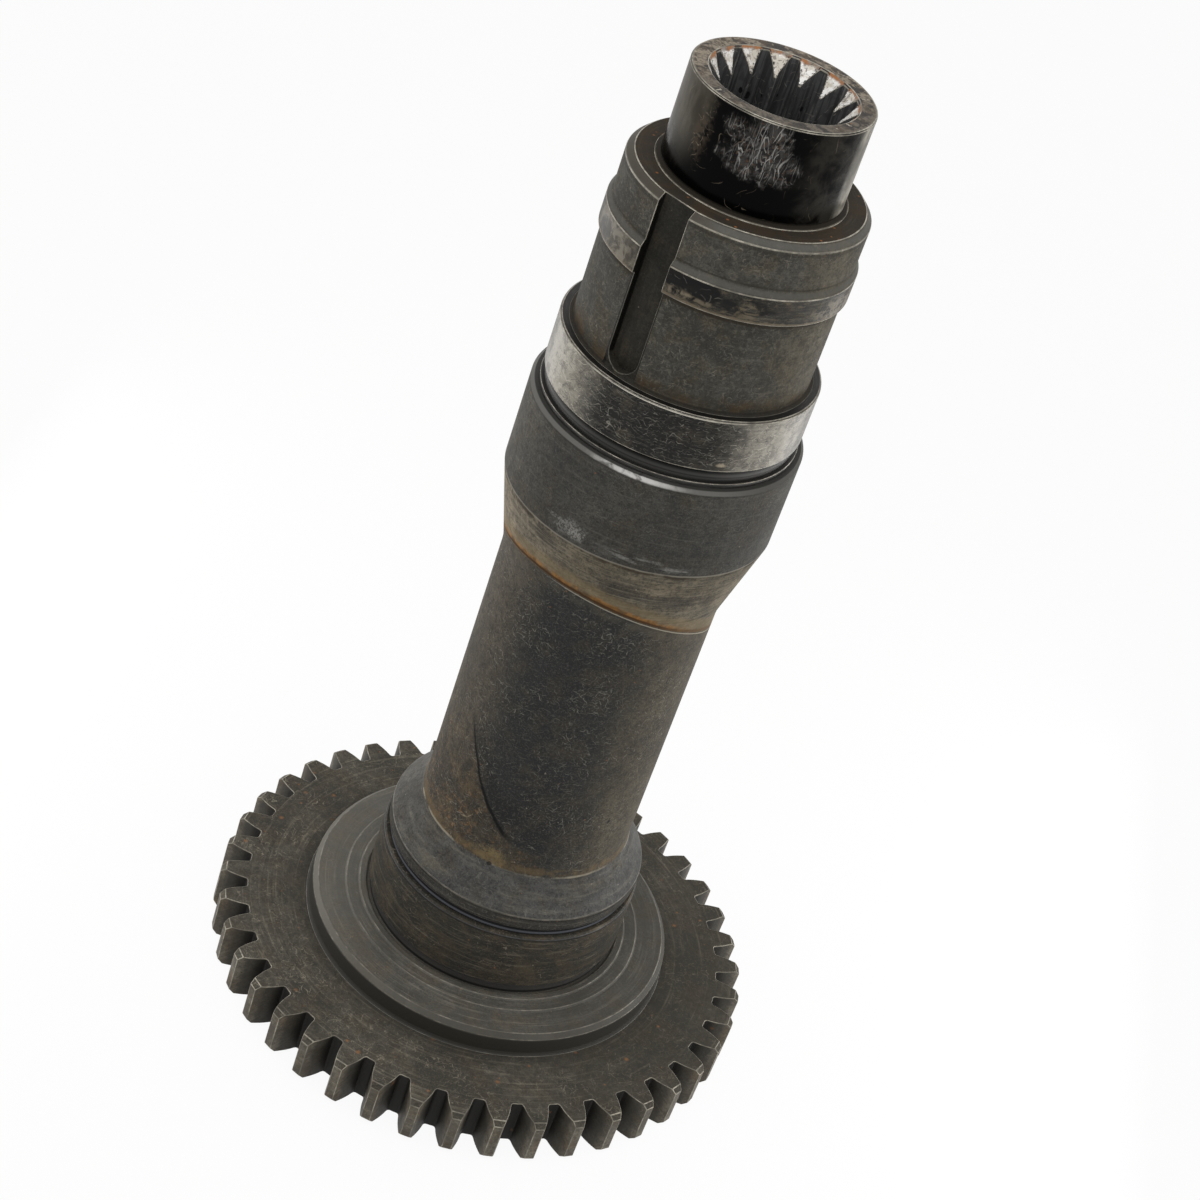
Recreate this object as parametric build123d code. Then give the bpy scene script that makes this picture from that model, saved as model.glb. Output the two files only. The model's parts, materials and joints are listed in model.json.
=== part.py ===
from build123d import *
from math import acos, cos, pi, radians, sin, tan
import os

# A hollow drive shaft with a spur gear at its foot, turned, hobbed and splined from one
# forging. Millimetres. +Z runs up the shaft, the origin is the centre of the gear's lower
# face. Every height below is the length of one section, and the sections stack upwards.

# Spur gear at the foot
gear_module = 5.0
gear_teeth = 42
gear_pressure_angle = 20.0
gear_root_drop = 1.17  # tooth depth below the pitch circle, in modules
gear_backlash = 0.15
gear_face = 20.5
gear_root_chamfer = 0.9  # breaks the two corners at the foot of a tooth gap
gear_tip_chamfer = 1.9
gear_turn = -86.3  # direction of one tooth gap about the axis, in degrees from +X

# Boss on the gear's upper face
boss_radius = 74.2
boss_rise = 10.1
boss_chamfer = 1.9
boss_foot_chamfer = 1.2
boss_outer_step_radius = 61.6
boss_outer_step_rise = 0.7
boss_inner_step_radius = 56.2
boss_inner_step_rise = 0.6

# Lower bearing seat, with a grinding relief below it
lower_seat_radius = 52.5
lower_relief_depth = 1.2
lower_relief_length = 4.2
lower_relief_dip = 0.8  # the relief also cuts into the boss's face
lower_relief_reach = 0.6
lower_seat_length = 26.3
lower_seat_edge = 0.8

# Narrow groove, flange and flare above the lower seat
groove_radius = 50.3
groove_length = 3.8
flange_radius = 51.5
flange_length = 5.6
flare_length = 13.7

# Long tube, with a blend where the flare runs into it
tube_radius = 41.8
tube_length = 120.8
blend_rise = 3.0  # how far the blend reaches above and below the flare's end
blend_sag = 0.25  # how far its middle stands off the tube, as a share of its foot

# Cone and sleeve
cone_length = 34.3
sleeve_radius = 50.4
sleeve_length = 36.5
sleeve_chamfer = 1.3

# Ledge, grinding relief and upper bearing seat
ledge_radius = 47.6
ledge_rise = 1.8
upper_relief_depth = 1.3
upper_relief_length = 5.2
upper_seat_radius = 47.5
upper_seat_length = 20.4
upper_seat_edge = 0.6

# Collar with a raised band and a keyway
collar_radius = 43.0
collar_length = 66.1
collar_chamfer = 2.5
collar_foot_chamfer = 1.5
band_rise = 1.5
band_start = 36.0  # from the collar's foot
band_length = 13.0
band_top_run = 2.6
band_low_run = 0.5
key_width = 12.6
key_depth = 3.1
key_turn = -118.2  # direction of the keyway about the axis, in degrees from +X
key_end_gap = 0.9  # between the keyway's round end and the collar's foot
key_corner_chamfer = 0.6

# Seat for a seal at the top, with a low lip round its foot
lip_radius = 33.9
lip_rise = 1.1
lip_wall = 0.3  # upright part of the lip's outer edge, its top slopes in to the seat
top_seat_radius = 32.0
top_seat_length = 34.8
rim_chamfer = 0.5

# Involute spline inside the top
spline_module = 3.0
spline_teeth = 15
spline_pressure_angle = 30.0
spline_space_width = 6.6  # at the pitch circle
spline_minor_radius = 20.6
spline_major_radius = 25.5
spline_length = 62.0
spline_turn = 88.9  # direction of one space about the axis, in degrees from +X
lead_in_radius = 26.1
lead_in_depth = 7.4

# Plain bore below the spline
bore_radius = 27.0
bore_mouth_chamfer = 2.0

cut_overrun = 1.0  # how far a cutting shape passes the surface it opens

# Heights of the section ends, stacked from the gear's lower face
z_boss = gear_face
z_boss_top = z_boss + boss_rise
z_step_outer = z_boss_top + boss_outer_step_rise
z_step_inner = z_step_outer + boss_inner_step_rise
z_lower_seat = z_step_inner + lower_relief_length
z_groove = z_lower_seat + lower_seat_length
z_flange = z_groove + groove_length
z_flare = z_flange + flange_length
z_tube = z_flare + flare_length
z_cone = z_tube + tube_length
z_sleeve = z_cone + cone_length
z_sleeve_top = z_sleeve + sleeve_length
z_ledge = z_sleeve_top + ledge_rise
z_upper_seat = z_ledge + upper_relief_length
z_collar = z_upper_seat + upper_seat_length
z_collar_top = z_collar + collar_length
z_lip = z_collar_top + lip_rise
z_rim = z_collar_top + top_seat_length

# Gear circles
gear_pitch_radius = gear_module * gear_teeth / 2
gear_tip_radius = gear_pitch_radius + gear_module
gear_root_radius = gear_pitch_radius - gear_root_drop * gear_module
gear_gap_width = gear_module * pi / 2 + gear_backlash

# Band round the collar
band_radius = collar_radius + band_rise

# Spline pitch circle
spline_pitch_radius = spline_module * spline_teeth / 2


def involute(angle):
    """Involute function of an angle in radians."""
    return tan(angle) - angle


def flank_half_angle(radius, pitch_radius, pressure_angle, width):
    """Half angle of an involute tooth at a radius, from its width at the pitch circle."""
    pressure = radians(pressure_angle)
    base_radius = pitch_radius * cos(pressure)
    local = acos(min(1.0, base_radius / radius))
    return width / (2 * pitch_radius) + involute(pressure) - involute(local)


def polar(radius, angle):
    """Point at a radius and an angle in radians."""
    return (radius * cos(angle), radius * sin(angle))


def turned(points):
    """Solid of revolution about Z from (radius, height) corners."""
    with BuildPart() as part:
        with BuildSketch(Plane.XZ):
            with BuildLine():
                Polyline(*points, close=True)
            make_face()
        revolve(axis=Axis.Z)
    return part.part


def turned_section(points):
    """Solid of revolution between the axis and an outline that rises from first to last."""
    foot = (0, points[0][1])
    head = (0, points[-1][1])
    return turned([foot, *points, head])


def gear_blank():
    """Gear disc with its tip corners chamfered."""
    tip = gear_tip_radius
    low = gear_tip_chamfer
    return turned_section([
        (tip - low, 0),
        (tip, low),
        (tip, gear_face - low),
        (tip - low, gear_face),
    ])


def gear_gap():
    """One tooth gap along +X: two involute flanks on a flat root with broken corners."""
    reach = gear_tip_radius + cut_overrun
    middle = (gear_root_radius + reach) / 2
    pitch_angle = pi / gear_teeth

    def half(radius):
        tooth_width = 2 * pi * gear_pitch_radius / gear_teeth - gear_gap_width
        tooth = flank_half_angle(radius, gear_pitch_radius, gear_pressure_angle, tooth_width)
        return pitch_angle - tooth

    with BuildPart() as part:
        with BuildSketch(Plane.XY.offset(-cut_overrun)) as outline:
            with BuildLine():
                root_low = polar(gear_root_radius, -half(gear_root_radius))
                root_high = polar(gear_root_radius, half(gear_root_radius))
                mouth_low = polar(reach, -half(reach))
                mouth_high = polar(reach, half(reach))
                Line(root_low, root_high)
                ThreePointArc(root_high, polar(middle, half(middle)), mouth_high)
                Line(mouth_high, mouth_low)
                ThreePointArc(mouth_low, polar(middle, -half(middle)), root_low)
            make_face()
            chamfer(outline.vertices().group_by(Axis.X)[0], gear_root_chamfer)
        extrude(amount=gear_face + 2 * cut_overrun)
    return part.part


def gear_wheel():
    """The gear disc with every tooth gap cut."""
    first = Rot(0, 0, gear_turn) * gear_gap()
    step = 360 / gear_teeth
    gaps = [Rot(0, 0, step * number) * first for number in range(gear_teeth)]
    return gear_blank().cut(*gaps)


def boss():
    """Round boss on the gear, chamfered, with two low turned steps on its top."""
    return turned_section([
        (boss_radius + boss_foot_chamfer, z_boss - cut_overrun),
        (boss_radius + boss_foot_chamfer, z_boss),
        (boss_radius, z_boss + boss_foot_chamfer),
        (boss_radius, z_boss_top - boss_chamfer),
        (boss_radius - boss_chamfer, z_boss_top),
        (boss_outer_step_radius, z_boss_top),
        (boss_outer_step_radius - boss_outer_step_rise, z_step_outer),
        (boss_inner_step_radius, z_step_outer),
        (boss_inner_step_radius - boss_inner_step_rise, z_step_inner),
    ])


def face_relief():
    """Ring cut where the lower relief dips into the boss's face."""
    relief = lower_seat_radius - lower_relief_depth
    reach = lower_seat_radius + lower_relief_reach
    return turned([
        (relief, z_step_inner - lower_relief_dip),
        (reach - lower_relief_dip, z_step_inner - lower_relief_dip),
        (reach, z_step_inner),
        (reach, z_step_inner + cut_overrun),
        (relief, z_step_inner + cut_overrun),
    ])


def lower_bearing_seat():
    """Cylindrical bearing seat above a grinding relief."""
    relief = lower_seat_radius - lower_relief_depth
    return turned_section([
        (relief, z_step_inner - cut_overrun),
        (relief, z_lower_seat - lower_relief_depth),
        (lower_seat_radius, z_lower_seat),
        (lower_seat_radius, z_groove - lower_seat_edge),
        (lower_seat_radius - lower_seat_edge, z_groove),
    ])


def flange_and_flare():
    """Narrow groove, short flange, and the flare that narrows up to the tube."""
    return turned_section([
        (groove_radius, z_groove - cut_overrun),
        (groove_radius, z_flange),
        (flange_radius, z_flange),
        (flange_radius, z_flare),
        (tube_radius, z_tube),
    ])


def tube():
    """Long forged tube that flows out of the flare."""
    foot_radius = tube_radius + blend_rise * (flange_radius - tube_radius) / flare_length
    wall = turned_section([
        (tube_radius, z_tube - cut_overrun),
        (tube_radius, z_cone),
    ])
    with BuildPart() as blend:
        with BuildSketch(Plane.XZ):
            with BuildLine():
                low = (foot_radius, z_tube - blend_rise)
                high = (tube_radius, z_tube + blend_rise)
                middle = (tube_radius + blend_sag * (foot_radius - tube_radius), z_tube)
                inner = tube_radius - cut_overrun
                ThreePointArc(low, middle, high)
                Polyline(high, (inner, high[1]), (inner, low[1]), low)
            make_face()
        revolve(axis=Axis.Z)
    return wall + blend.part


def cone_and_sleeve():
    """Cone that widens up to a plain sleeve with a chamfered upper edge."""
    return turned_section([
        (tube_radius, z_cone),
        (sleeve_radius, z_sleeve),
        (sleeve_radius, z_sleeve_top - sleeve_chamfer),
        (sleeve_radius - sleeve_chamfer, z_sleeve_top),
    ])


def upper_bearing_seat():
    """Low ledge, grinding relief, and the upper bearing seat with its broken edge."""
    relief = upper_seat_radius - upper_relief_depth
    return turned_section([
        (ledge_radius, z_sleeve_top - cut_overrun),
        (ledge_radius, z_ledge),
        (relief, z_ledge),
        (relief, z_upper_seat - upper_relief_depth),
        (upper_seat_radius, z_upper_seat),
        (upper_seat_radius, z_collar - upper_seat_edge),
        (upper_seat_radius - upper_seat_edge, z_collar),
    ])


def collar():
    """Collar with a chamfered top and a raised band round its upper half."""
    z_band = z_collar + band_start
    z_band_top = z_band + band_length
    return turned_section([
        (collar_radius + collar_foot_chamfer, z_collar - cut_overrun),
        (collar_radius + collar_foot_chamfer, z_collar),
        (collar_radius, z_collar + collar_foot_chamfer),
        (collar_radius, z_band),
        (band_radius, z_band + band_low_run),
        (band_radius, z_band_top - band_top_run),
        (collar_radius, z_band_top),
        (collar_radius, z_collar_top - collar_chamfer),
        (collar_radius - collar_chamfer, z_collar_top),
    ])


def keyway():
    """Keyway cut: flat floor, parallel walls, round lower end, open through the collar's top."""
    floor = collar_radius - key_depth
    low = z_collar + key_end_gap
    high = z_collar_top + cut_overrun
    with BuildPart() as part:
        with BuildSketch(Plane.YZ.offset(floor)) as outline:
            with Locations((0, low + key_width / 2)):
                Circle(key_width / 2)
            with Locations((0, (low + key_width / 2 + high) / 2)):
                Rectangle(key_width, high - low - key_width / 2)
        extrude(amount=band_radius - floor + cut_overrun)
        base = part.edges().group_by(Axis.X)[0]
        chamfer(base.filter_by(Axis.Z), key_corner_chamfer)
    return Rot(0, 0, key_turn) * part.part


def top_seat():
    """Low lip on the collar's top and the seal seat that rises from it."""
    return turned_section([
        (lip_radius, z_collar_top - cut_overrun),
        (lip_radius, z_collar_top + lip_wall),
        (top_seat_radius, z_lip),
        (top_seat_radius, z_rim - rim_chamfer),
        (top_seat_radius - rim_chamfer, z_rim),
    ])


def spline_space():
    """One space of the internal spline along +X: two involute flanks and a flat bottom."""
    start = spline_minor_radius - cut_overrun
    middle = (start + spline_major_radius) / 2

    def half(radius):
        return flank_half_angle(
            radius, spline_pitch_radius, spline_pressure_angle, spline_space_width
        )

    with BuildPart() as part:
        with BuildSketch(Plane.XY.offset(z_rim - spline_length)):
            with BuildLine():
                inner_low = polar(start, -half(start))
                inner_high = polar(start, half(start))
                outer_low = polar(spline_major_radius, -half(spline_major_radius))
                outer_high = polar(spline_major_radius, half(spline_major_radius))
                Line(inner_low, inner_high)
                ThreePointArc(inner_high, polar(middle, half(middle)), outer_high)
                Line(outer_high, outer_low)
                ThreePointArc(outer_low, polar(middle, -half(middle)), inner_low)
            make_face()
        extrude(amount=spline_length + cut_overrun)
    return part.part


def spline_hole():
    """Internal spline from the top, with a conical lead-in on its teeth."""
    slope = (lead_in_radius - spline_minor_radius) / lead_in_depth
    hole = turned_section([
        (spline_minor_radius, z_rim - spline_length - cut_overrun),
        (spline_minor_radius, z_rim - lead_in_depth),
        (lead_in_radius + slope * cut_overrun, z_rim + cut_overrun),
    ])
    first = Rot(0, 0, spline_turn) * spline_space()
    step = 360 / spline_teeth
    spaces = [Rot(0, 0, step * number) * first for number in range(spline_teeth)]
    return [hole, *spaces]


def lower_bore():
    """Plain bore from the foot up to the spline, with a chamfered mouth."""
    return turned_section([
        (bore_radius + bore_mouth_chamfer + cut_overrun, -cut_overrun),
        (bore_radius, bore_mouth_chamfer),
        (bore_radius, z_rim - spline_length),
    ])


def drive_shaft():
    """The whole shaft as one solid."""
    body = boss().fuse(
        lower_bearing_seat(),
        flange_and_flare(),
        tube(),
        cone_and_sleeve(),
        upper_bearing_seat(),
        collar(),
        top_seat(),
    )
    shaft = gear_wheel().fuse(body)
    return shaft.cut(face_relief(), keyway(), lower_bore(), *spline_hole())


def main():
    os.makedirs("parts", exist_ok=True)
    shaft = drive_shaft()
    export_step(shaft, "parts/drive_shaft.step")


main()
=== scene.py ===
import json
from functools import reduce
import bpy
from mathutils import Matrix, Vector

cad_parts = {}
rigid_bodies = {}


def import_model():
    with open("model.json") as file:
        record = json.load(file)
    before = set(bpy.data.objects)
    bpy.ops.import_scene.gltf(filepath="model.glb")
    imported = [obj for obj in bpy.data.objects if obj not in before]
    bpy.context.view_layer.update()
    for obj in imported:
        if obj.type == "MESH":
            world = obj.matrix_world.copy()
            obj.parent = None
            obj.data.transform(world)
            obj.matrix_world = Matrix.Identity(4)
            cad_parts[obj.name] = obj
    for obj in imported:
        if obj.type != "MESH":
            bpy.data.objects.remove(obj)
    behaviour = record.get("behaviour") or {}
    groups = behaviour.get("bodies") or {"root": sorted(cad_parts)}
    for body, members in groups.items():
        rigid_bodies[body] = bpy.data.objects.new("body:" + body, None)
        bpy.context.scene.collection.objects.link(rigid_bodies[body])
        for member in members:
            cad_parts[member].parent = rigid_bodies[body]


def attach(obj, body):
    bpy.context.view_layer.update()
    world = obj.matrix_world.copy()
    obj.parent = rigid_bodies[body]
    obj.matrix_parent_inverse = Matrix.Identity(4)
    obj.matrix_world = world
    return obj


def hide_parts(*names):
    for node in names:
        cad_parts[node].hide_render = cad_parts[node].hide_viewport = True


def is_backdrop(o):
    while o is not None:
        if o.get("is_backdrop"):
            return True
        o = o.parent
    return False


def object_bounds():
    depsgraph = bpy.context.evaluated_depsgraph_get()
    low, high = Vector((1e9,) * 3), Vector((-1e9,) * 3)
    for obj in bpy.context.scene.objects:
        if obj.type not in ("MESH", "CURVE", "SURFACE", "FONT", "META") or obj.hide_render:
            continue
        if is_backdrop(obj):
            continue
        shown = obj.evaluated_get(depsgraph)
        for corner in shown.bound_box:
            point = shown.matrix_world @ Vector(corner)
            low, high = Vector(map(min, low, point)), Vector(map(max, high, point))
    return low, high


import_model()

from inspect import signature
from math import acos, cos, hypot, pi, radians, sin, tan
from types import SimpleNamespace

import bmesh
import bpy

# A hollow drive shaft with a spur gear at its foot, turned, ground, hobbed and splined from one
# forging. Metres, +Z up the shaft, the origin at the centre of the gear's lower face. Each length
# of the shaft is modelled as its own ring, finished as that length is, and the rings overlap
# inside the metal, where nothing shows.

mm = 0.001
cad_box = [list(corner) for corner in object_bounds()]
SOLID = "drive_shaft"

# Spur gear at the foot
gear_module = 5.0 * mm
gear_teeth = 42
gear_pressure_angle = radians(20.0)
gear_root_drop = 1.17
gear_backlash = 0.15 * mm
gear_face = 20.5 * mm
gear_tip_chamfer = 1.9 * mm
gear_root_fillet = 1.2 * mm
gear_turn = radians(-86.3)
gear_tip_radius = gear_module * (gear_teeth / 2 + 1)

# Boss on the gear's upper face
boss_radius = 74.2 * mm
boss_rise = 10.1 * mm
boss_chamfer = 1.9 * mm
boss_foot = 1.2 * mm
outer_step_radius = 61.6 * mm
outer_step_rise = 0.7 * mm
inner_step_radius = 56.2 * mm
inner_step_rise = 0.6 * mm

# Lower bearing seat and its grinding relief
lower_seat_radius = 52.5 * mm
lower_relief_depth = 1.2 * mm
lower_relief_length = 4.2 * mm
lower_relief_dip = 0.8 * mm
lower_relief_reach = 0.6 * mm
lower_seat_length = 26.3 * mm
lower_seat_edge = 0.8 * mm

# Groove, flange, flare and tube
groove_radius = 50.3 * mm
groove_length = 3.8 * mm
flange_radius = 51.5 * mm
flange_length = 5.6 * mm
flare_length = 13.7 * mm
tube_radius = 41.8 * mm
tube_length = 120.8 * mm
blend_rise = 3.0 * mm
blend_sag = 0.25
blend_foot = 0.42
corner_share = 0.3  # how far a hollow corner's middle is from its ends

# Cone and sleeve
cone_length = 34.3 * mm
sleeve_radius = 50.4 * mm
sleeve_length = 36.5 * mm
sleeve_chamfer = 1.3 * mm

# Ledge, grinding relief and upper bearing seat
ledge_radius = 47.6 * mm
ledge_rise = 1.8 * mm
upper_relief_depth = 1.3 * mm
upper_relief_length = 5.2 * mm
upper_seat_radius = 47.5 * mm
upper_seat_length = 20.4 * mm
upper_seat_edge = 0.6 * mm

# Collar, band and keyway
collar_radius = 43.0 * mm
collar_length = 66.1 * mm
collar_chamfer = 2.5 * mm
collar_foot = 1.5 * mm
band_radius = 44.5 * mm
band_start = 36.0 * mm
band_length = 13.0 * mm
band_top_run = 2.6 * mm
band_low_run = 0.5 * mm
key_width = 12.6 * mm
key_depth = 3.1 * mm
key_turn = radians(-118.2)
key_end_gap = 0.9 * mm

# Seal seat and the spline inside it
lip_radius = 33.9 * mm
lip_rise = 1.1 * mm
lip_wall = 0.3 * mm
top_seat_radius = 32.0 * mm
top_seat_length = 34.8 * mm
rim_chamfer = 0.5 * mm
spline_module = 3.0 * mm
spline_teeth = 15
spline_pressure_angle = radians(30.0)
spline_space_width = 6.6 * mm
spline_minor_radius = 20.6 * mm
spline_major_radius = 25.5 * mm
spline_length = 62.0 * mm
spline_turn = radians(88.9)
lead_in_radius = 26.1 * mm
lead_in_depth = 7.4 * mm
bore_radius = 27.0 * mm
bore_mouth_chamfer = 2.0 * mm

# Heights of the section ends, stacked from the gear's lower face
z_boss_top = gear_face + boss_rise
z_step_outer = z_boss_top + outer_step_rise
z_step_inner = z_step_outer + inner_step_rise
z_lower_seat = z_step_inner + lower_relief_length
z_groove = z_lower_seat + lower_seat_length
z_flange = z_groove + groove_length
z_flare = z_flange + flange_length
z_tube = z_flare + flare_length
z_cone = z_tube + tube_length
z_sleeve = z_cone + cone_length
z_sleeve_top = z_sleeve + sleeve_length
z_ledge = z_sleeve_top + ledge_rise
z_upper_seat = z_ledge + upper_relief_length
z_collar = z_upper_seat + upper_seat_length
z_band = z_collar + band_start
z_band_top = z_band + band_length
z_collar_top = z_collar + collar_length
z_lip = z_collar_top + lip_rise
z_rim = z_collar_top + top_seat_length
z_spline = z_rim - spline_length

# How the rings are made
bore_wall = 3.5 * mm  # the bore's own ring reaches this far into the metal
hidden_radius = 29.0 * mm  # inner wall of the other rings, inside the bore's ring
tuck = 1.5 * mm  # how far a ring's foot goes down into the ring below
turns = 192  # segments round a turned ring
merge_gap = 0.001 * mm
near = 0.1 * mm
wide_rounding = 0.25 * mm
fine_rounding = 0.2 * mm
flank_steps = 5
arc_steps = 12
smooth_below = radians(22)
steep = 0.2  # the normal of a wall rises less than this


# Modelling

edit = bpy.ops.mesh


def clear_selection():
    """Leaves object mode with nothing selected."""
    if bpy.context.object and bpy.context.object.mode != "OBJECT":
        bpy.ops.object.mode_set(mode="OBJECT")
    bpy.ops.object.select_all(action="DESELECT")


def start_piece(name, finishes=()):
    """A new piece, empty and in edit mode."""
    clear_selection()
    edit.primitive_plane_add(size=mm)
    piece = bpy.context.object
    piece.name = piece.data.name = name
    bpy.ops.object.mode_set(mode="EDIT")
    edit.delete(type="VERT")
    for finish in finishes:
        piece.data.materials.append(finish)
    return piece


def extrude(x, y, z):
    """Extrudes what is selected."""
    edit.extrude_region_move(TRANSFORM_OT_translate={"value": (x, y, z)})


def draw_line(points):
    """Draws a line through points, by extruding one corner."""
    edit.select_mode(type="VERT")
    edit.select_all(action="DESELECT")
    edit.primitive_plane_add(size=mm)
    edit.merge(type="CENTER")
    bpy.ops.transform.translate(value=points[0])
    for here, there in zip(points, points[1:]):
        extrude(*(b - a for a, b in zip(here, there)))


def draw_face(points):
    """Draws a closed line and fills it."""
    draw_line([*points, points[0]])
    edit.select_linked()
    edit.remove_doubles(threshold=merge_gap)
    edit.edge_face_add()


def select_where(piece, kind, test):
    """Selects the verts, edges or faces that pass a test."""
    edit.select_all(action="DESELECT")
    edit.select_mode(type={"verts": "VERT", "edges": "EDGE", "faces": "FACE"}[kind])
    shape = bmesh.from_edit_mesh(piece.data)
    shape.normal_update()
    for part in getattr(shape, kind):
        if test(part):
            part.select_set(True)
    bmesh.update_edit_mesh(piece.data)


def centre(part):
    """Middle of an edge or a face."""
    return [sum(axis) / len(axis) for axis in zip(*(corner.co for corner in part.verts))]


def middle(part):
    """Radius and height of the middle of an edge or a face."""
    x, y, z = centre(part)
    return hypot(x, y), z


def round_edges(piece, width, seen=0, sharpest=9, test=lambda edge: True):
    """Rounds the raised edges outside a radius, in the worn finish."""

    def chosen(edge):
        if len(edge.link_faces) != 2 or edge.calc_face_angle() < radians(sharpest):
            return False
        return edge.is_convex and middle(edge)[0] > seen and test(edge)

    select_where(piece, "edges", chosen)
    edit.bevel(offset=width, segments=2, material=1, clamp_overlap=False)


def paint_faces(piece, slot, test):
    """Gives the faces that pass a test another finish."""
    select_where(piece, "faces", test)
    piece.active_material_index = slot
    bpy.ops.object.material_slot_assign()


def spin_round(steps, copies=False):
    """Turns everything once round the shaft's axis."""
    edit.select_all(action="SELECT")
    edit.spin(steps=steps, dupli=copies, angle=2 * pi, center=(0, 0, 0), axis=(0, 0, 1))
    edit.select_all(action="SELECT")
    edit.remove_doubles(threshold=merge_gap)


def turn_to(angle):
    """Turns what is selected from the X axis to an angle."""
    bpy.ops.transform.rotate(value=-angle, orient_axis="Z", center_override=(0, 0, 0))


def close_up():
    """Merges doubles and points every face outwards."""
    edit.select_all(action="SELECT")
    edit.remove_doubles(threshold=merge_gap)
    edit.normals_make_consistent(inside=False)


def finish_piece(piece):
    """Smooths the shading and joins the piece to the object."""
    bpy.ops.object.mode_set(mode="OBJECT")
    bpy.ops.object.shade_smooth_by_angle(angle=smooth_below)
    shading = piece.modifiers.new("flat_faces_stay_flat", "WEIGHTED_NORMAL")
    shading.keep_sharp = True
    bpy.ops.object.modifier_apply(modifier=shading.name)
    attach(piece, "root")
    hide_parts(SOLID)


def turned_ring(name, corners, finishes, inner=hidden_radius):
    """A ring turned from its (radius, height) corners, foot first, left open."""
    piece = start_piece(name, finishes)
    outline = [(inner, corners[0][1]), *corners, (inner, corners[-1][1])]
    draw_line([(radius, 0, height) for radius, height in [*outline, outline[0]]])
    spin_round(turns)
    close_up()
    return piece


def foot_corners(radius, run, height):
    """The hollow corner where a wall comes down on a face, from inside the metal up."""
    low = corner_share * run
    wide = radius + run
    return [(wide, height - tuck), (wide, height), (radius + low, height + low), (radius, height + run)]


def stages(low, high):
    """Radii from one to another, in steps along a flank."""
    return [low + (high - low) * number / flank_steps for number in range(flank_steps + 1)]


def half_angle(radius, pitch_radius, pressure_angle, width):
    """Half angle of an involute tooth at a radius, from its width at the pitch circle."""
    local = acos(min(1, pitch_radius * cos(pressure_angle) / radius))
    return width / (2 * pitch_radius) + tan(pressure_angle) - pressure_angle - tan(local) + local


def polar(radius, angle, height=0):
    """Point at a radius, an angle and a height."""
    return (radius * cos(angle), radius * sin(angle), height)


# Pieces


def gear_wheel(web, flank, worn):
    """The spur gear: one tooth is drawn, copied round, and given its thickness."""
    pitch_radius = gear_module * gear_teeth / 2
    tip = gear_tip_radius
    root = pitch_radius - gear_root_drop * gear_module
    shoulder = tip - gear_tip_chamfer
    pitch_angle = 2 * pi / gear_teeth
    width = pi * gear_module / 2 - gear_backlash
    tooth = gear_turn + pitch_angle / 2
    foot = root + gear_root_fillet
    rising = stages(foot, shoulder)

    def half(radius):
        return half_angle(radius, pitch_radius, gear_pressure_angle, width)

    def flank_line(side, radii):
        return [polar(radius, tooth + side * half(radius), gear_face) for radius in radii]

    def root_corner(side):
        places = ((root + gear_root_fillet * corner_share, corner_share), (root, 0.8))
        turned = [(radius, half(foot) + gear_root_fillet * share / root) for radius, share in places]
        return [polar(radius, tooth + side * angle, gear_face) for radius, angle in turned]

    def at_tip(corner, height):
        return hypot(*corner.co[:2]) > tip - near and abs(corner.co.z - height) < near

    left_root = root_corner(-1)[::-1]
    right_root = root_corner(1)
    outline = [*left_root, *flank_line(-1, rising), *flank_line(1, rising[::-1]), *right_root]
    tip_middle = polar(tip, tooth, gear_face)
    chamfered = [*flank_line(-1, (shoulder, tip)), tip_middle, *flank_line(1, (tip, shoulder))]
    web_slice = [
        polar(root, tooth - pitch_angle / 2, gear_face),
        left_root[0],
        right_root[1],
        polar(root, tooth + pitch_angle / 2, gear_face),
        *(polar(bore_radius, tooth + pitch_angle * part / 6, gear_face) for part in (3, 1, -1, -3)),
    ]
    piece = start_piece("gear_wheel", (web, worn, flank))
    for loop in (web_slice, outline, chamfered):
        draw_face(loop)
    spin_round(gear_teeth, copies=True)
    edit.select_all(action="SELECT")
    extrude(0, 0, -gear_face)
    close_up()
    for height, rise in ((gear_face, -gear_tip_chamfer), (0, gear_tip_chamfer)):
        select_where(piece, "verts", lambda corner: at_tip(corner, height))
        bpy.ops.transform.translate(value=(0, 0, rise))
    paint_faces(piece, 2, lambda face: abs(face.normal.z) < steep and middle(face)[0] > root - mm)
    select_where(piece, "edges", lambda edge: max(middle(edge)[0] - bore_radius, middle(edge)[1]) < near)
    edit.bevel(offset=bore_mouth_chamfer, segments=1, clamp_overlap=False)
    round_edges(piece, wide_rounding, root - mm, 35)
    finish_piece(piece)


def gear_boss(face, worn):
    """Round boss on the gear with two low turned steps on its top."""
    relief = lower_seat_radius - lower_relief_depth
    reach = lower_seat_radius + lower_relief_reach
    z_dip = z_step_inner - lower_relief_dip
    piece = turned_ring("gear_boss", [
        *foot_corners(boss_radius, boss_foot, gear_face),
        (boss_radius, z_boss_top - boss_chamfer),
        (boss_radius - boss_chamfer, z_boss_top),
        (outer_step_radius, z_boss_top),
        (outer_step_radius - outer_step_rise, z_step_outer),
        (inner_step_radius, z_step_outer),
        (inner_step_radius - inner_step_rise, z_step_inner),
        (reach, z_step_inner),
        (reach - lower_relief_dip, z_dip),
        (relief - tuck, z_dip),
        (relief - tuck, z_dip - tuck),
    ], (face, worn))
    round_edges(piece, wide_rounding, relief)
    finish_piece(piece)


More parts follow.
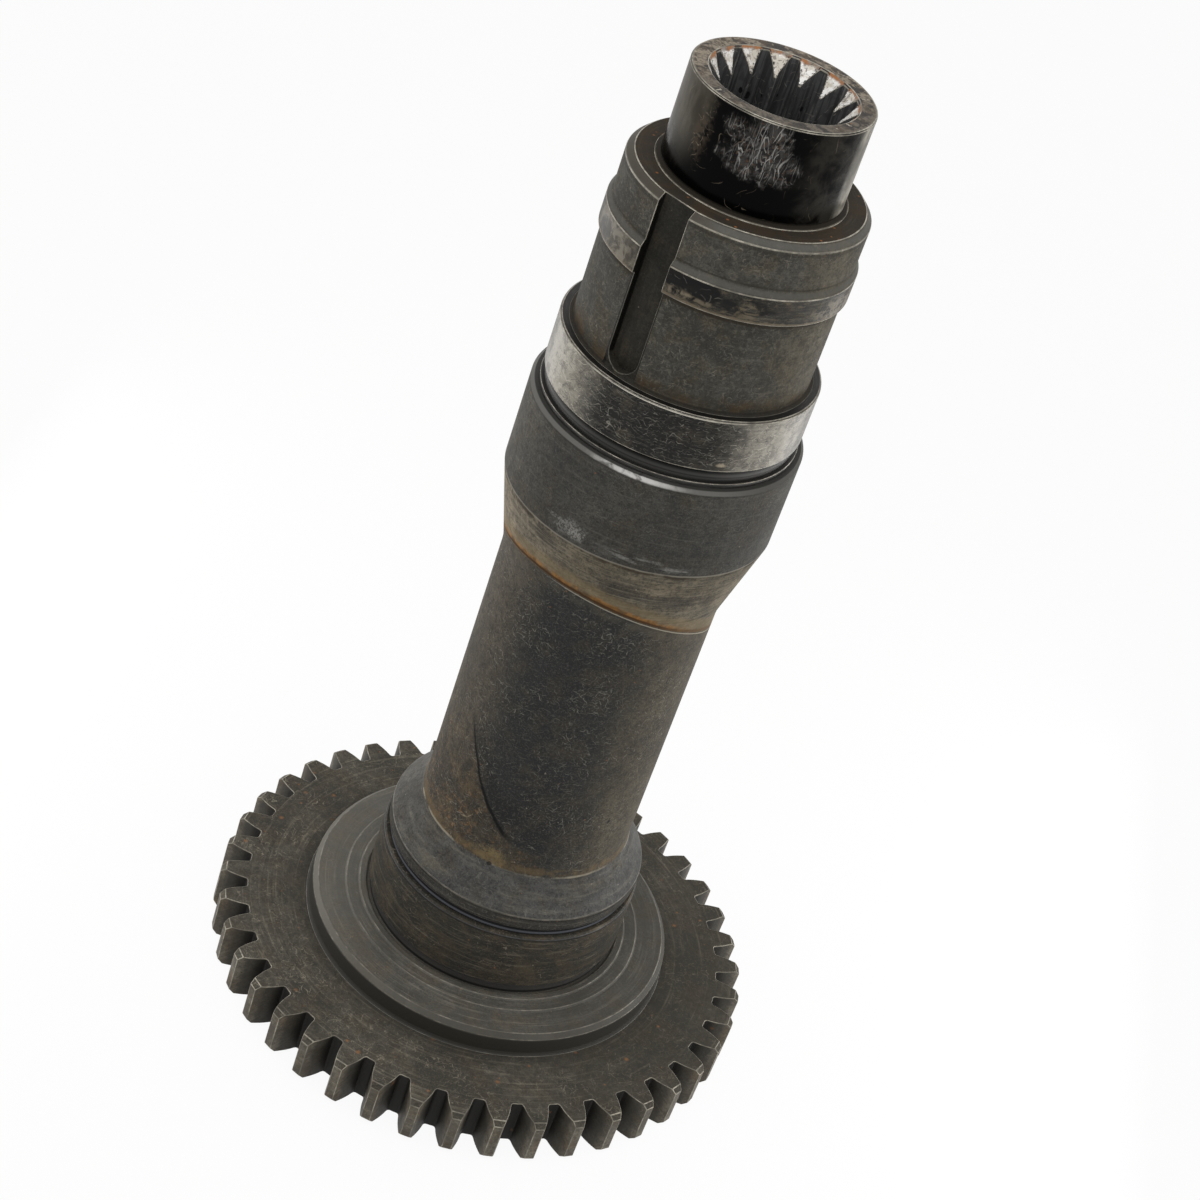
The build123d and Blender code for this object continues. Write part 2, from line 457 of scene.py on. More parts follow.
def bearing_seat(name, radius, depth, z_foot, z_start, z_end, edge, above_radius, finishes, start=()):
    """A ground seat above its relief, with a broken upper edge."""
    relief = radius - depth
    corners = [
        *start,
        (relief, z_foot),
        (relief, z_start - depth),
        (radius, z_start),
        (radius, z_end - edge),
        (radius - edge, z_end),
        (above_radius - tuck, z_end),
    ]
    piece = turned_ring(name, corners, finishes)
    round_edges(piece, fine_rounding, relief + 0.4 * mm)
    finish_piece(piece)


def shaft_body(skin, worn):
    """Groove, flange, flare, long tube, cone and sleeve in one run."""
    foot = blend_rise * (flange_radius - tube_radius) / flare_length
    neck = blend_rise * (sleeve_radius - tube_radius) / cone_length
    piece = turned_ring("shaft_body", [
        (groove_radius, z_groove - tuck),
        (groove_radius, z_flange),
        (flange_radius, z_flange),
        (flange_radius, z_flare),
        (tube_radius + foot, z_tube - blend_rise),
        (tube_radius + blend_foot * foot, z_tube - blend_rise * corner_share),
        (tube_radius + blend_sag * foot, z_tube),
        (tube_radius, z_tube + blend_rise),
        (tube_radius, z_cone - blend_rise),
        (tube_radius + blend_sag * neck, z_cone),
        (tube_radius + neck, z_cone + blend_rise),
        (sleeve_radius, z_sleeve),
        (sleeve_radius, z_sleeve_top - sleeve_chamfer),
        (sleeve_radius - sleeve_chamfer, z_sleeve_top),
        (ledge_radius - tuck, z_sleeve_top),
    ], (skin, worn))
    round_edges(piece, 0.3 * mm, groove_radius + mm / 2, 25)
    finish_piece(piece)


def key_cutter():
    """The shape of the keyway: flat floor, parallel walls, a round lower end."""
    floor = collar_radius - key_depth
    half = key_width / 2
    low = z_collar + key_end_gap + half
    top = z_collar_top + mm
    angles = [pi * step / arc_steps for step in range(arc_steps + 1)]
    arc = [(floor, -half * cos(angle), low - half * sin(angle)) for angle in angles]
    cutter = start_piece("key_cutter")
    draw_face([*arc, (floor, half, top), (floor, -half, top)])
    extrude(band_radius + mm - floor, 0, 0)
    close_up()
    turn_to(key_turn)
    clear_selection()
    return cutter


def keyed_collar(face, worn, band, key):
    """Collar with a chamfered top, a raised band and the keyway cut down its side."""
    piece = turned_ring("keyed_collar", [
        *foot_corners(collar_radius, collar_foot, z_collar),
        (collar_radius, z_band),
        (band_radius, z_band + band_low_run),
        (band_radius, z_band_top - band_top_run),
        (collar_radius, z_band_top),
        (collar_radius, z_collar_top - collar_chamfer),
        (collar_radius - collar_chamfer, z_collar_top),
        (lip_radius - tuck, z_collar_top),
    ], (face, worn, band, key))
    turn_to(key_turn)
    cutter = key_cutter()
    bpy.context.view_layer.objects.active = piece
    piece.select_set(True)
    cut = piece.modifiers.new("keyway", "BOOLEAN")
    cut.operation = "DIFFERENCE"
    cut.solver = "EXACT"
    cut.object = cutter
    bpy.ops.object.modifier_apply(modifier=cut.name)
    bpy.data.objects.remove(cutter)
    bpy.ops.object.mode_set(mode="EDIT")

    def in_keyway(face):
        x, y, _ = centre(face)
        out = x * cos(key_turn) + y * sin(key_turn)
        across = y * cos(key_turn) - x * sin(key_turn)
        return out > collar_radius - key_depth - near / 2 and abs(across) < (key_width + near) / 2

    def on_band(face):
        radius, height = middle(face)
        return radius > band_radius - 2 * near and z_band + band_low_run < height < z_band_top - band_top_run

    paint_faces(piece, 3, in_keyway)
    paint_faces(piece, 2, on_band)
    round_edges(piece, wide_rounding, lip_radius, 20)
    finish_piece(piece)


def splined_top(seat, worn, rim, lead_in, spline):
    """The seal seat with its lip, and inside it the spline with its conical lead-in."""
    pitch_angle = 2 * pi / spline_teeth
    radii = stages(spline_minor_radius, spline_major_radius)

    def lead_height(radius):
        slope = lead_in_depth / (lead_in_radius - spline_minor_radius)
        return z_rim - slope * (lead_in_radius - radius)

    tooth_side = half_space(spline_minor_radius)
    land = pitch_angle - 2 * tooth_side
    places = [
        *((radius, -half_space(radius)) for radius in radii),
        (spline_major_radius, 0),
        *((radius, half_space(radius)) for radius in radii[::-1]),
        *((spline_minor_radius, tooth_side + land * share) for share in (0.25, 0.5, 0.75, 1)),
    ]
    piece = start_piece("splined_top", (seat, worn, rim, lead_in, spline))
    draw_line([polar(radius, spline_turn + angle, lead_height(radius)) for radius, angle in places])
    draw_line([polar(lead_in_radius, spline_turn + angle, z_rim) for _, angle in places])
    spin_round(spline_teeth, copies=True)
    edit.bridge_edge_loops()
    select_where(piece, "edges", lambda edge: middle(edge)[1] > z_rim - near)
    corners = [
        (lead_in_radius, z_rim),
        (top_seat_radius - rim_chamfer, z_rim),
        (top_seat_radius, z_rim - rim_chamfer),
        (top_seat_radius, z_lip),
        (lip_radius, z_collar_top + lip_wall),
        (lip_radius, z_collar_top - tuck),
        (hidden_radius + 2 * tuck, z_collar_top - tuck),
        (hidden_radius + 2 * tuck, z_spline),
    ]
    for (radius, height), (next_radius, next_height) in zip(corners, corners[1:]):
        extrude(0, 0, next_height - height)
        scale = next_radius / radius
        bpy.ops.transform.resize(value=(scale, scale, 1), center_override=(0, 0, 0))

    def is_open(edge):
        return len(edge.link_faces) == 1

    def on_lead_in(face):
        radius, height = middle(face)
        return radius < lead_in_radius and height > z_rim - lead_in_depth and face.normal.z > steep

    def on_teeth(face):
        return middle(face)[0] < spline_major_radius + near and abs(face.normal.z) < steep

    def at_rim(edge):
        radius, height = middle(edge)
        return height > z_rim - lead_in_depth - mm or radius > top_seat_radius - rim_chamfer

    select_where(piece, "edges", lambda edge: is_open(edge) and middle(edge)[0] < spline_major_radius)
    extrude(0, 0, -spline_length)
    bpy.ops.transform.resize(value=(1, 1, 0), center_override=(0, 0, z_spline))
    select_where(piece, "edges", is_open)
    edit.bridge_edge_loops()
    close_up()
    paint_faces(piece, 2, lambda face: face.normal.z > 0.95 and middle(face)[1] > z_rim - near)
    paint_faces(piece, 3, on_lead_in)
    paint_faces(piece, 4, on_teeth)
    round_edges(piece, fine_rounding, sharpest=20, test=at_rim)
    finish_piece(piece)


def half_space(radius):
    """Half angle of a space of the spline at a radius."""
    pitch_radius = spline_module * spline_teeth / 2
    return half_angle(radius, pitch_radius, spline_pressure_angle, spline_space_width)


def through_bore(wall):
    """The plain bore from the gear up to the spline."""
    outer = bore_radius + bore_wall
    corners = [(outer, gear_face), (outer, z_spline + mm)]
    finish_piece(turned_ring("through_bore", corners, (wall,), bore_radius))


# Nodes


def feed(node, values):
    """Links or sets inputs. A colour of three numbers is in thousandths."""
    for name, value in values.items():
        socket = node.inputs[name]
        if isinstance(value, bpy.types.NodeSocket):
            node.id_data.links.new(value, socket)
        elif socket.type == "RGBA" and len(value) == 3:
            socket.default_value = (*(part / 1000 for part in value), 1)
        else:
            socket.default_value = value


def put(kind, values, tree=None, **settings):
    """Adds a node to the tree of its values and gives back its outputs."""
    if tree is None:
        tree = next(value.id_data for value in values.values() if isinstance(value, bpy.types.NodeSocket))
    node = tree.nodes.new("ShaderNode" + kind)
    for name, value in settings.items():
        setattr(node, name, value)
    feed(node, values)
    return node.outputs


def maths(operation, *values):
    """Result of a Math node."""
    return put("Math", dict(enumerate(values)), operation=operation)[0]


def vectors(operation, *values):
    """Vector result of a Vector Math node."""
    return put("VectorMath", dict(enumerate(values)), operation=operation)[0]


def number_of(operation, *values):
    """Number that a Vector Math node gives, such as a length."""
    return put("VectorMath", dict(enumerate(values)), operation=operation)[1]


def both(*values):
    """Product of values: where masks overlap."""
    return reduce(lambda first, second: maths("MULTIPLY", first, second), values)


def outside(mask):
    """Everything that a mask leaves out."""
    return maths("SUBTRACT", 1, mask)


def fade(value, low, high):
    """Goes smoothly from 0 at low to 1 at high."""
    ends = {"Value": value, "From Min": low, "From Max": high}
    return put("MapRange", ends, interpolation_type="SMOOTHSTEP")[0]


def noise(place, scale, detail, roughness=0.5, distortion=0):
    """Outputs of a Noise Texture: its value, then its colour."""
    names = ("Vector", "Scale", "Detail", "Roughness", "Distortion")
    return put("TexNoise", dict(zip(names, (place, scale, detail, roughness, distortion))))


def apart(place):
    """The three numbers of a place."""
    return put("SeparateXYZ", {0: place})


def radius_of(place):
    """Distance from the shaft's axis."""
    return number_of("LENGTH", vectors("MULTIPLY", place, (1, 1, 0)))


# Effects, each a node group that the finishes share. Their sizes are in millimetres.


now = SimpleNamespace()  # the surface at hand: its material, its place, and the coats laid so far


def start(place, colour, rough, height=0):
    """Starts on a surface."""
    now.place, now.colour, now.rough, now.height = place, colour, rough, height


def effect(build):
    """Makes a node group of a function, which then places that group on the surface at hand."""
    starts = {name: value.default for name, value in signature(build).parameters.items()}
    group = bpy.data.node_groups.new(build.__name__, "ShaderNodeTree")

    def new_socket(name, way, first):
        size = len(first) if isinstance(first, tuple) else 1
        kind = {1: "NodeSocketFloat", 3: "NodeSocketVector", 4: "NodeSocketColor"}[size]
        return group.interface.new_socket(name=name, in_out=way, socket_type=kind)

    for name, first in starts.items():
        new_socket(name, "INPUT", first).default_value = first
    given = group.nodes.new("NodeGroupInput").outputs
    result = build(**{name: given[name] for name in starts})
    results = result if isinstance(result, dict) else {"mask": result}
    for name in results:
        new_socket(name, "OUTPUT", starts.get(name, 0))
    feed(group.nodes.new("NodeGroupOutput"), results)

    def use(*values, place=None, **named):
        node = now.place.id_data.nodes.new("ShaderNodeGroup")
        node.node_tree = group
        feed(node, {"place": place or now.place, **dict(enumerate(values, 1)), **named})
        return node.outputs if isinstance(result, dict) else node.outputs[0]

    return use


def lay(mask, amount=1, colour=None, rough=None, rise=0):
    """Lays a coat where a mask is, or where some overlap. Gives back that mask."""
    if isinstance(mask, tuple):
        mask = both(*mask)
    part = both(mask, amount)
    if colour is not None:
        now.colour = put("Mix", {0: part, 6: now.colour, 7: colour}, data_type="RGBA")[2]
    if rough is not None:
        now.rough = put("Mix", {0: part, 2: now.rough, 3: rough})[0]
    if rise:
        now.height = maths("MULTIPLY_ADD", mask, rise * mm, now.height)
    return mask


@effect
def strokes(place=(0, 0, 0), size=3, width=0.05, length=0.45, share=0.5, level=0):
    """Short curved scratches in the surface, one at most to a cell."""
    scaled = put("VectorMath", {0: place, "Scale": maths("DIVIDE", 1 / mm, size)}, operation="SCALE")[0]
    bend = vectors("SUBTRACT", noise(scaled, 1.1, 1)[1], (0.5, 0.5, 0.5))
    bent = vectors("MULTIPLY_ADD", bend, (1.1, 1.1, 1.1), scaled)
    cells = put("TexVoronoi", {"Vector": bent, "Scale": 1})
    local = vectors("SUBTRACT", bent, cells["Position"])
    pick = put("SeparateColor", {0: cells["Color"]})
    shuffled = vectors("FRACTION", vectors("MULTIPLY", cells["Color"], (7.3, 9.1, 5.7)))
    heading = vectors("SUBTRACT", shuffled, (0.5, 0.5, 0.5))
    face = put("NewGeometry", {}, place.id_data)["Normal"]
    sideways = vectors("ADD", vectors("CROSS_PRODUCT", heading, face), put("CombineXYZ", {2: level})[0])
    across = vectors("NORMALIZE", sideways)
    run = number_of("DOT_PRODUCT", local, vectors("CROSS_PRODUCT", face, across))
    curve = maths("MULTIPLY_ADD", pick[0], 2.4, -1.2)
    off = maths("MULTIPLY_ADD", both(run, run), curve, number_of("DOT_PRODUCT", local, across))
    drawn = fade(maths("ABSOLUTE", off), width, both(width, 0.3))
    ends = fade(maths("ABSOLUTE", run), length, both(length, 0.5))
    kept = maths("LESS_THAN", pick[2], share)
    return both(both(drawn, ends), both(kept, maths("MULTIPLY_ADD", pick[1], 0.75, 0.25)))


@effect
def turning_marks(place=(0, 0, 0), pitch=1, wander=3):
    """Rings left by the lathe or the grinding wheel."""
    along = maths("ADD", radius_of(place), apart(place)[2])
    turn = apart(vectors("NORMALIZE", vectors("MULTIPLY", place, (1, 1, 0))))
    pitches = maths("DIVIDE", both(along, 1 / mm), pitch)
    rings = put("CombineXYZ", {0: both(turn[0], wander), 1: both(turn[1], wander), 2: pitches})[0]
    return noise(rings, 1, 4, 0.65)[0]


@effect
def specks(place=(0, 0, 0), size=4, radius=0.08, share=0.4):
    """Sparse small dots."""
    cells = put("TexVoronoi", {"Vector": place, "Scale": maths("DIVIDE", 1 / mm, size)})
    pick = put("SeparateColor", {0: cells["Color"]})
    dot = fade(cells["Distance"], both(radius, pick[1]), 0)
    return both(dot, maths("LESS_THAN", pick[0], share))


def cut_noise(place, size, level, soft, *character):
    """A noise cut at a level."""
    uneven = noise(place, maths("DIVIDE", 1 / mm, size), *character)[0]
    return fade(uneven, maths("SUBTRACT", level, soft), maths("ADD", level, soft))


@effect
def blotches(place=(0, 0, 0), size=20, level=0.5, soft=0.1):
    """Uneven patches with ragged edges."""
    return cut_noise(place, size, level, soft, 6, 0.62, 0.4)


@effect
def grain(place=(0, 0, 0), size=20, level=0.5, soft=0.1):
    """Fine even grain."""
    return cut_noise(place, size, level, soft, 2, 0.7)


def stray(place, often):
    """How far an edge strays, from about -0.5 to 0.5."""
    return maths("SUBTRACT", noise(place, often, 5, 0.65)[0], 0.5)


def past(length, place, base, offset, ragged):
    """How many millimetres a length is past a base and its offset, made uneven."""
    over = both(maths("SUBTRACT", length, base), 1 / mm)
    return maths("SUBTRACT", maths("MULTIPLY_ADD", stray(place, 180), ragged, over), offset)


@effect
def line(place=(0, 0, 0), base=0, offset=0, reach=1, ragged=0, slope=(0, 0, 1)):
    """A narrow line round the shaft at a height, level or tilted."""
    height = number_of("DOT_PRODUCT", place, slope)
    away = maths("ABSOLUTE", past(height, place, base, offset, ragged))
    return fade(away, reach, both(reach, 0.3))


@effect
def above(place=(0, 0, 0), base=0, offset=0, soft=0.5, ragged=0, slope=(0, 0, 1)):
    """Everything above a height, level or tilted."""
    height = number_of("DOT_PRODUCT", place, slope)
    return fade(past(height, place, base, offset, ragged), both(soft, -1), soft)


@effect
def beyond(place=(0, 0, 0), base=0, offset=0, soft=1, ragged=0):
    """Everything further from the axis than a radius."""
    return fade(past(radius_of(place), place, base, offset, ragged), both(soft, -1), soft)


@effect
def patch(place=(0, 0, 0), centre=(0, 0, 0), reach=(0.01, 0.01, 0.01), ragged=0.5, soft=0.35):
    """One patch with a ragged edge, round a point on the surface."""
    distance = number_of("LENGTH", vectors("DIVIDE", vectors("SUBTRACT", place, centre), reach))
    uneven = maths("MULTIPLY_ADD", stray(place, 260), ragged, distance)
    return fade(uneven, 1, maths("SUBTRACT", 1, soft))


def below(*values, **named):
    """Everything below a height."""
    return outside(above(*values, **named))


def right_of(x, soft, ragged=0):
    """Everything to the right of a place."""
    return above(0, x, soft, ragged, (1, 0, 0))


def left_of(x, soft, ragged=0):
    """Everything to the left of a place."""
    return outside(right_of(x, soft, ragged))


def spot(radius, angle, height, across, tall, ragged=1.4, soft=0.35):
    """A ragged patch on a wall, its angle in degrees, its height and sizes in millimetres."""
    reach = (across * mm, across * mm, tall * mm)
    return patch(polar(radius, radians(angle), height * mm), reach, ragged, soft)


def stretched(*scale):
    """The place at hand, drawn out."""
    return vectors("MULTIPLY", now.place, scale)


grey = (0.1, 0.1, 0.1, 1)
rust_fleck = (300, 130, 50)
black = (8, 8, 8)


@effect
def shared_wear(
    place=(0, 0, 0), colour=grey, roughness=0.5, height=0, shade=grey, tint=grey, light=grey,
    bloom=0.6, marks=0.2, pitch=1.2, scratches=0.85, level=0.3, grit=0.7,
):
    """Dark bloom, brown tint, tool marks, scratches and grit, in a finish's own colours."""
    start(place, colour, roughness, height)
    lay(blotches(26, 0.52, 0.09), bloom, shade, rise=-0.01)
    lay(blotches(11, 0.55, 0.08), 0.5, tint, 0.75)
    lay(blotches(3.4, 0.53, 0.08), 0.4, shade)
    lay(grain(1.1, 0.44, -0.1), 0.5, shade, rise=-0.01)
    lay(grain(0.6, 0.6, 0.1), 0.15, light, rise=0.01)
    rings = turning_marks(pitch, 2.5)
    lay(fade(rings, 0.52, 0.74), marks, light)
    lay(fade(rings, 0.48, 0.28), marks, shade, rise=-0.015)
    # fine scratches in clusters, pale ones and dark ones
    cluster = maths("MULTIPLY_ADD", blotches(18, 0.52, 0.08), 0.7, 0.3)
    for size, width, share, shown, amount in (
        (4.4, 0.036, 0.7, light, 0.8),
        (2.7, 0.055, 0.8, light, 0.75),
        (3.3, 0.06, 0.7, shade, 1),
        (1.7, 0.08, 0.8, light, 0.5),
    ):
        lay(both(strokes(size, width, 0.48, share, level), cluster), both(scratches, amount), shown)
    for size, radius, share, shown in (
        (2.6, 0.17, 0.2, (420, 370, 280)),
        (4.3, 0.15, 0.3, rust_fleck),
        (3.1, 0.19, 0.35, black),
    ):
        lay(specks(size, radius, share), grit, shown)
    return {"colour": now.colour, "roughness": now.rough, "height": now.height}


def wear(shade, tint, light, **values):
    """The wear that all of the shaft shares."""
    laid = (now.colour, now.rough, now.height)
    now.colour, now.rough, now.height = shared_wear(*laid, shade, tint, light, **values)


# Finishes


def new_finish(name, colour, rough=0.7, metallic=0, specular=0.1):
    """Starts a finish: a material of its own, with no coats yet."""
    now.material = bpy.data.materials.new(name)
    now.material.use_nodes = True
    tree = now.material.node_tree
    feed(tree.nodes["Principled BSDF"], {"Metallic": metallic, "Specular IOR Level": specular})
    start(put("TexCoord", {}, tree)["Object"], colour, rough)


def done():
    """Feeds the shader with the coats and gives back the material."""
    normal = put("Bump", {"Height": now.height, "Distance": 1})[0]
    shader = now.material.node_tree.nodes["Principled BSDF"]
    feed(shader, {"Base Color": now.colour, "Roughness": now.rough, "Normal": normal})
    return now.material


def finish(*look):
    """Makes a material of a function that lays coats on a first look."""

    def dress(lay_coats):
        new_finish(lay_coats.__name__, *look)
        lay_coats()
        return done()

    return dress


@finish((86, 79, 64))
def web_steel():
    """Gear web and tooth ends: brown-grey, flat, finely marked, darker round the boss, with painted shade
    over the right side.
    """
    wear((42, 39, 32), (90, 70, 48), (270, 240, 185), marks=0.42, scratches=1, bloom=0.85)
    lay(blotches(4, 0.53, 0.06), 0.4, (36, 33, 27))
    # painted shade: the right side of the web darker
    lay(right_of(50, 40, 20), 0.5, (36, 33, 26))
    lay(specks(5, 0.3, 0.35), 0.8, (260, 120, 50))
    # darker round the foot of the boss
    lay(outside(beyond(boss_radius, 5, 6, 8)), 0.55, (32, 29, 24))


@finish((165, 148, 116), 0.55, 0, 0.2)
def tooth_steel():
    """Tooth flanks, tips and gaps: rubbed where they mesh, with painted shade darkening the flanks and
    turning the roots near black.
    """
    wear((45, 41, 33), (130, 85, 45), (320, 285, 220), marks=0.35, scratches=0.5)
    tips = beyond(gear_tip_radius, -2.5, 1.6, 2)
    # painted shade between the teeth: darker flanks, near-black roots
    lay(outside(tips), 0.75, (34, 31, 25), 0.6)
    lay(outside(beyond(gear_tip_radius, -7.5, 3, 4)), 0.92, (9, 8.5, 7.5), 0.6)
    lay((tips, blotches(7, 0.52, 0.08)), 0.6, (70, 60, 45))
    lay(specks(6, 0.3, 0.3), 0.7, (200, 90, 35))


def worn_edge(name, dark, pale, level=0.5, dull_below=0):
    """A worn corner: pale metal in places, oxide in others, and duller below a height."""
    new_finish(name, dark, 0.5, 0.2, 0.3)
    lay(blotches(9, level, 0.14), 0.9, pale, 0.38)
    lay(blotches(2.5, 0.52, 0.06), 0.6, dark, rise=-0.03)
    lay(specks(2, 0.2, 0.2), 0.5, rust_fleck)
    if dull_below:
        lay(below(dull_below), 0.75, (50, 46, 37), 0.6)
    return done()


@finish((100, 94, 79), 0.6, 0, 0.2)
def boss_steel():
    """Boss top, turned in fine rings, with a paler chamfer and a dark wall, a painted highlight on the
    chamfer at the front left, painted light on the left and painted shade on the right.
    """
    wear((50, 47, 40), (115, 88, 58), (250, 235, 195), marks=0.5, pitch=0.9, scratches=0.5)
    lay(fade(turning_marks(4.5, 1.2), 0.45, 0.62), 0.4, (50, 47, 40))
    rim = beyond(boss_radius - boss_chamfer, 0, 0.4, 0.4)
    # painted highlight on the chamfer at the front left
    lit = below(0, -30, 30, 20, (1, 0.6, 0))
    lay(rim, 0.6, (60, 56, 46), 0.55)
    lay((rim, lit), 0.25, (120, 112, 92), 0.5)
    # painted shade on the right side and painted light on the left side
    lay(right_of(30, 25, 12), 0.45, (45, 41, 33))
    lay(left_of(-42, 20, 12), 0.35, (170, 160, 135))
    lay(below(z_boss_top - boss_chamfer, -0.5), 0.92, (28, 26, 22), 0.6)


@finish((38, 35, 27), 0.6, 0, 0.15)
def lower_seat_steel():
    """Lower bearing seat: dull dark brown-grey with tan streaks, and painted shade lines in its relief."""
    wear((22, 21, 18), (88, 66, 42), (200, 175, 135), marks=0.45, scratches=1, level=1)
    lay(fade(turning_marks(5, 3), 0.52, 0.66), 0.35, (85, 68, 45))
    lay(below(z_lower_seat, -1, 0.4), 0.8, (50, 49, 47), 0.5)
    # painted shade: black lines in the relief, under the seat and at the boss face
    for base, offset in ((z_lower_seat, -0.7), (z_step_inner, 0)):
        lay(line(base, offset, 0.7), 0.9, (10, 10, 9), 0.5)
    lay(line(z_groove - lower_seat_edge, -0.6, 0.5, 0.3), 0.7, (14, 13, 12))


@finish((30, 31, 30.5))
def shaft_steel():
    """Groove, flange, flare, forged tube, turned cone and sleeve, each with its own tone, painted light down
    their sides, painted shade in the groove and beside the seam, and a painted highlight and glint on the
    sleeve's chamfer.
    """
    large = blotches(30, 0.48, 0.12)
    middling = blotches(16, 0.5, 0.08)
    uneven = blotches(7, 0.47, 0.08)
    # tan film with painted light down the tube's right side, brown with painted light down its left, and
    # brown beyond a slanting seam
    lay(right_of(23, 11, 12), 0.7, (130, 108, 73))
    lay(left_of(-24, 9, 10), 0.75, (118, 97, 70))
    slant = (0.47, -2.254, 1)
    seam = 192 * mm
    low_down = both(below(0, 125, 28), left_of(10, 6))
    along_seam = both(below(0, 138, 8), left_of(-2.5, 3))
    brown = lay((below(seam, 0, 0.6, 3, slant), low_down), 0.85, (66, 53, 37))
    lay((brown, middling), 0.6, (140, 100, 55))
    lay((brown, blotches(5, 0.52, 0.06)), 0.7, (35, 29, 21))
    lay((brown, blotches(3, 0.58, 0.04), below(0, 108, 12)), 0.6, (280, 150, 62))
    lay((brown, strokes(8, 0.03, 0.5, 0.8)), 0.9, (300, 250, 165))
    # painted shadow along one side of the seam
    lay((line(seam, 7, 11, 5, slant), along_seam), 0.6, (15, 14.7, 14.3))
    lay(spot(tube_radius, -76, 110, 26, 27, 0.8, 0.8), 0.65, (20, 20.5, 20.5))
    lay(spot(tube_radius, -100, 89, 11, 5, 1.2, 0.6), 0.8, (240, 180, 85))
    lay(spot(tube_radius, -133, 81, 9, 6, 1.6, 0.6), 0.6, (250, 140, 55))
    # turned metal above the rust line
    tilt = (0.168, 0.315, 1)
    rust_line = 203.8 * mm
    turned = lay(above(rust_line, 0, 0.25, 0.5, tilt), 1, (190, 160, 110))
    lay((turned, large), 0.5, (240, 200, 140))
    lay((turned, middling), 0.5, (100, 82, 55))
    # painted light on the left side of the cone
    lay((turned, left_of(-19, 10, 8)), 0.75, (360, 300, 215))
    for angle, height, across, tall in ((-84, 228, 13, 7), (-60, 226, 20, 6), (-122, 236, 9, 4)):
        lay(spot(48 * mm, angle, height, across, tall, 1.6, 0.6), 0.75, (50, 44, 36))
    sleeve = lay(above(z_sleeve, 0, 0.25), 1, (76, 73, 62))
    lay((sleeve, large), 0.4, (55, 54, 50))
    flare = lay(below(z_tube, 0, 0.3, 0.8), 1, (78, 77, 73), 0.6)
    lay((flare, middling), 0.35, (50, 50, 50))
    # painted light down the left side of the flare and of the sleeve
    far_left = left_of(-36, 8, 8)
    lay((flare, far_left), 0.5, (125, 115, 95))
    lay((sleeve, far_left), 0.5, (112, 100, 78))
    lay(below(z_flare, 0, 0.15), 0.9, (34, 32, 28))
    machined = maths("MAXIMUM", turned, flare)
    scratches = maths("MULTIPLY_ADD", machined, -0.5, 0.85)
    marks = maths("MULTIPLY_ADD", machined, 0.12, 0.03)
    wear((22, 22.2, 21.8), (70, 58, 42), (270, 258, 220), marks=marks, bloom=0.35, scratches=scratches)
    lay((line(seam, 1, 1.7, 3, slant), along_seam), 0.85, (4, 4, 4))
    # tool marks on the cone and the flare
    rings = turning_marks(0.8, 2)
    cut = maths("MAXIMUM", both(turned, outside(sleeve)), flare)
    cut = both(cut, maths("MULTIPLY_ADD", flare, -0.55, 1))
    lay((cut, fade(rings, 0.5, 0.7)), 0.4, (300, 270, 200), rise=0.01)
    lay((cut, fade(rings, 0.46, 0.3)), 0.55, (40, 34, 26))
    # rust along the line where the turning stopped
    front = below(0, -24, 14, 12, (0.25, 1, 0))

    def trace(offset, reach, ragged):
        return line(rust_line, offset, reach, ragged, tilt)

    lay(trace(4, 4.5, 5), 0.45, (210, 155, 80))
    lay(trace(0.9, 1.2, 1.2), 0.8, (110, 62, 26))
    lay((trace(1.5, 1.8, 2.2), front, uneven), 0.8, (300, 145, 42))
    lay((trace(1.6, 1.6, 2.6), front, blotches(4, 0.5, 0.1)), 0.6, (70, 35, 14))
    lay((trace(0.6, 0.85, 1), front), 0.85, (35, 18, 8))
    lay((trace(-0.6, 0.34, 0.3), right_of(-16, 10, 8)), 0.75, (420, 380, 300))
    lay((trace(-3, 2.5, 2), uneven), 0.3, (120, 105, 78))
    # pale and dark lines at the foot of the sleeve and of the tube
    lay(line(z_sleeve, 0.1, 0.45, 0.3), 0.7, (260, 240, 195))
    lay((line(z_sleeve, -0.9, 1.1, 2), uneven), 0.75, (35, 26, 18))
    lay((line(z_tube, 0, 0.6, 0.5), middling), 0.7, (320, 290, 220))
    lay(line(z_flare, 0.1, 0.3, 0.2), 0.75, (230, 215, 180))
    lay(line(z_flare, -0.8, 0.7, 0.4), 0.5, (16, 15, 13))
    lay((line(z_tube, 2, 2.4, 4), uneven), 0.5, (150, 105, 55))
    lay(spot(tube_radius, -98, 85.2, 1.6, 1, 1.5), 0.8, black, rise=-0.2)
    # worn top edge of the sleeve, with a painted highlight and a painted glint on its chamfer at the front
    # left
    edge = lay(above(z_sleeve_top - sleeve_chamfer, 0, 0.2), 0.9, (100, 97, 88), 0.5)
    lay((edge, below(0, -18, 16, 10, (0.6, 1, 0))), 0.5, (200, 195, 180), 0.4)
    shining = spot(sleeve_radius - sleeve_chamfer / 2, -93, 276.4, 22, 1.4, 0.6, 0.8)
    lay((shining, blotches(8, 0.44, 0.06)), 0.9, (660, 650, 620), 0.3)
    lay(above(z_sleeve_top, -0.15, 0.1), 0.9, (35, 34, 31))
    lay(line(z_sleeve_top - sleeve_chamfer, -0.5, 0.5, 0.3), 0.5, (35, 33, 30))
